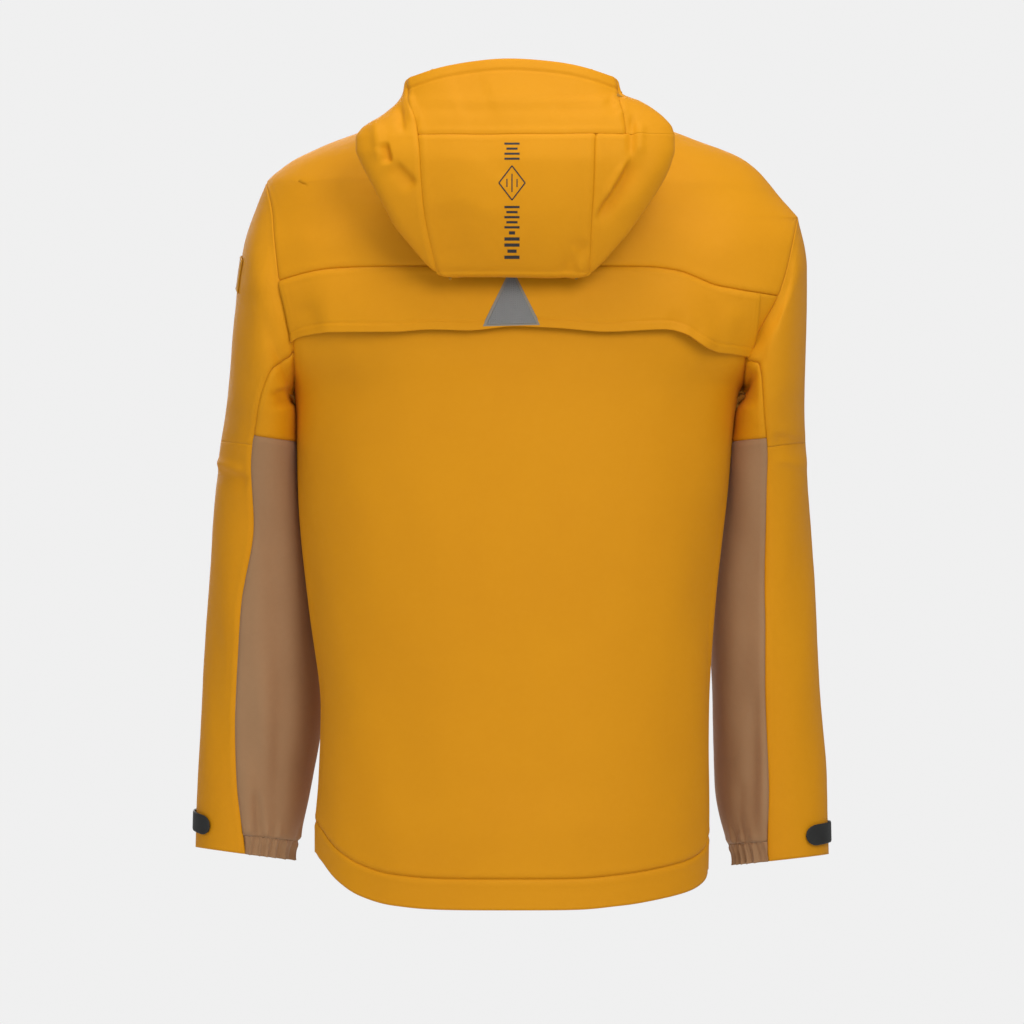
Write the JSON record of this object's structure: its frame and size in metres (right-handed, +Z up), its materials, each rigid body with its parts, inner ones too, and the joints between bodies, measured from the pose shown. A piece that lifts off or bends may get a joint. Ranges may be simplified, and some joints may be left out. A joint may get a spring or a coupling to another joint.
{
  "type": "hardshell jacket",
  "caption": "Hooded waterproof shell jacket, shaped as worn, with folded hood, vented back flap, two-tone sleeves, cuff tabs and front zip.",
  "frame": {"origin": "middle of the hang loop's gap, inside the nape of the neck", "axes": "+Z up along the upright body, -Y to the wearer's front, +X to the wearer's left"},
  "size_m": [0.6435, 0.3156, 0.8422],
  "materials": {
    "shell_ochre": "smooth satin-matte laminated shell, fine plain weave",
    "shell_brown": "matte stretch-woven shell",
    "cuff_fabric": "matte woven, gathered",
    "lining": "laminate backer, matte",
    "mesh": "open knitted mesh",
    "zip_tape": "woven polyester tape",
    "zip_coil": "satin nylon coil",
    "zip_metal": "satin dark paint",
    "moulded_black": "matte, fine moulded texture",
    "reflective_grey": "woven reflective tape, low sheen",
    "tape_black": "woven tape",
    "elastic": "ribbed elastic",
    "stiffener": "smooth sheet"
  },
  "bodies": {
    "torso": {"back_panel": "shell_ochre", "back_yoke": "shell_ochre", "front_panel_left": "shell_ochre", "front_panel_right": "shell_ochre", "hem_band_back": "shell_ochre", "hem_band_front_left": "shell_ochre", "hem_band_front_right": "shell_ochre", "hem_facing": "lining", "hem_drawcord": "elastic", "hem_cord_locks": "moulded_black", "collar_outer": "shell_ochre", "collar_lining": "lining", "chin_guard": "lining", "main_zip_tape_left": "zip_tape", "main_zip_tape_right": "zip_tape", "main_zip_coil_left": "zip_coil", "main_zip_coil_right": "zip_coil", "main_zip_box": "zip_coil", "storm_placket": "lining", "hang_loop": "tape_black", "neck_label": "tape_black", "pocket_zip_tape_left": "zip_tape", "pocket_zip_tape_right": "zip_tape", "pocket_bag_left": "lining", "pocket_bag_right": "lining", "vent_mesh": "mesh", "hood_neck_left": "shell_ochre", "hood_neck_right": "shell_ochre"},
    "main_slider": {"main_zip_slider": "zip_metal"},
    "main_pull": {"main_zip_pull": "moulded_black"},
    "vent_flap": {"vent_flap": "shell_ochre", "reflective_triangle": "reflective_grey"},
    "hood": {"hood_crown_panel": "shell_ochre", "hood_visor": "shell_ochre", "hood_brim_stiffener": "stiffener", "hood_rear_panel": "lining", "hood_floor": "lining", "hood_side_left": "shell_ochre", "hood_side_right": "shell_ochre"},
    "pocket_slider_left": {"pocket_zip_slider_left": "zip_metal"},
    "pocket_pull_left": {"pocket_zip_pull_left": "moulded_black"},
    "upper_sleeve_left": {"sleeve_upper_left": "shell_ochre", "underarm_gusset_left": "shell_ochre", "sleeve_badge_left": "shell_ochre"},
    "forearm_left": {"sleeve_lower_left": "shell_ochre", "sleeve_inner_panel_left": "shell_brown", "cuff_gather_left": "cuff_fabric", "cuff_elastic_left": "elastic", "cuff_loop_patch_left": "tape_black"},
    "cuff_tab_left": {"cuff_tab_left": "moulded_black"},
    "pocket_slider_right": {"pocket_zip_slider_right": "zip_metal"},
    "pocket_pull_right": {"pocket_zip_pull_right": "moulded_black"},
    "upper_sleeve_right": {"sleeve_upper_right": "shell_ochre", "underarm_gusset_right": "shell_ochre"},
    "forearm_right": {"sleeve_lower_right": "shell_ochre", "sleeve_inner_panel_right": "shell_brown", "cuff_gather_right": "cuff_fabric", "cuff_elastic_right": "elastic", "cuff_loop_patch_right": "tape_black"},
    "cuff_tab_right": {"cuff_tab_right": "moulded_black"}
  },
  "joints": [
    {"name": "main_zip_slide", "type": "slide", "parent": "torso", "child": "main_slider", "axis": [0, -0.0519, -0.9987], "range_m": [0, 0.69]},
    {"name": "main_pull_hinge", "type": "hinge", "parent": "main_slider", "child": "main_pull", "pos_m": [0, -0.1482, -0.015], "axis": [-1, 0, 0], "range_deg": [0, 150]},
    {"name": "pocket_zip_slide_left", "type": "slide", "parent": "torso", "child": "pocket_slider_left", "axis": [-0.1086, -0.0936, -0.9897], "range_m": [0, 0.13]},
    {"name": "pocket_pull_hinge_left", "type": "hinge", "parent": "pocket_slider_left", "child": "pocket_pull_left", "pos_m": [0.13858, -0.14272, -0.46745], "axis": [-0.8859, -0.4425, 0.1391], "range_deg": [0, 150]},
    {"name": "pocket_zip_slide_right", "type": "slide", "parent": "torso", "child": "pocket_slider_right", "axis": [0.1099, -0.0922, -0.9897], "range_m": [0, 0.13]},
    {"name": "pocket_pull_hinge_right", "type": "hinge", "parent": "pocket_slider_right", "child": "pocket_pull_right", "pos_m": [-0.13858, -0.14366, -0.46745], "axis": [-0.8918, 0.4306, -0.1391], "range_deg": [0, 150]},
    {"name": "vent_flap_hinge", "type": "hinge", "parent": "torso", "child": "vent_flap", "pos_m": [0, 0.071, -0.152], "axis": [1, 0, 0], "range_deg": [0, 18]},
    {"name": "hood_lift", "type": "hinge", "parent": "torso", "child": "hood", "pos_m": [0, 0.008, -0.012], "axis": [1, 0, 0], "range_deg": [0, 45]},
    {"name": "sleeve_swing_left", "type": "hinge", "parent": "torso", "child": "upper_sleeve_left", "pos_m": [0.247, -0.054, -0.07], "axis": [0, -1, 0], "range_deg": [0, 40]},
    {"name": "elbow_flex_left", "type": "hinge", "parent": "upper_sleeve_left", "child": "forearm_left", "pos_m": [0.2565, -0.156, -0.3465], "axis": [-1, 0, 0], "range_deg": [0, 45]},
    {"name": "cuff_tab_hinge_left", "type": "hinge", "parent": "forearm_left", "child": "cuff_tab_left", "pos_m": [0.30174, -0.1632, -0.70988], "axis": [0.0502, 0.0387, -0.998], "range_deg": [0, 100]},
    {"name": "sleeve_swing_right", "type": "hinge", "parent": "torso", "child": "upper_sleeve_right", "pos_m": [-0.289, -0.054, -0.103], "axis": [0, 1, 0], "range_deg": [0, 40]},
    {"name": "elbow_flex_right", "type": "hinge", "parent": "upper_sleeve_right", "child": "forearm_right", "pos_m": [-0.2585, -0.156, -0.3475], "axis": [-1, 0, 0], "range_deg": [0, 45]},
    {"name": "cuff_tab_hinge_right", "type": "hinge", "parent": "forearm_right", "child": "cuff_tab_right", "pos_m": [-0.30321, -0.1632, -0.71644], "axis": [0.0714, -0.0351, 0.9968], "range_deg": [0, 100]}
  ]
}
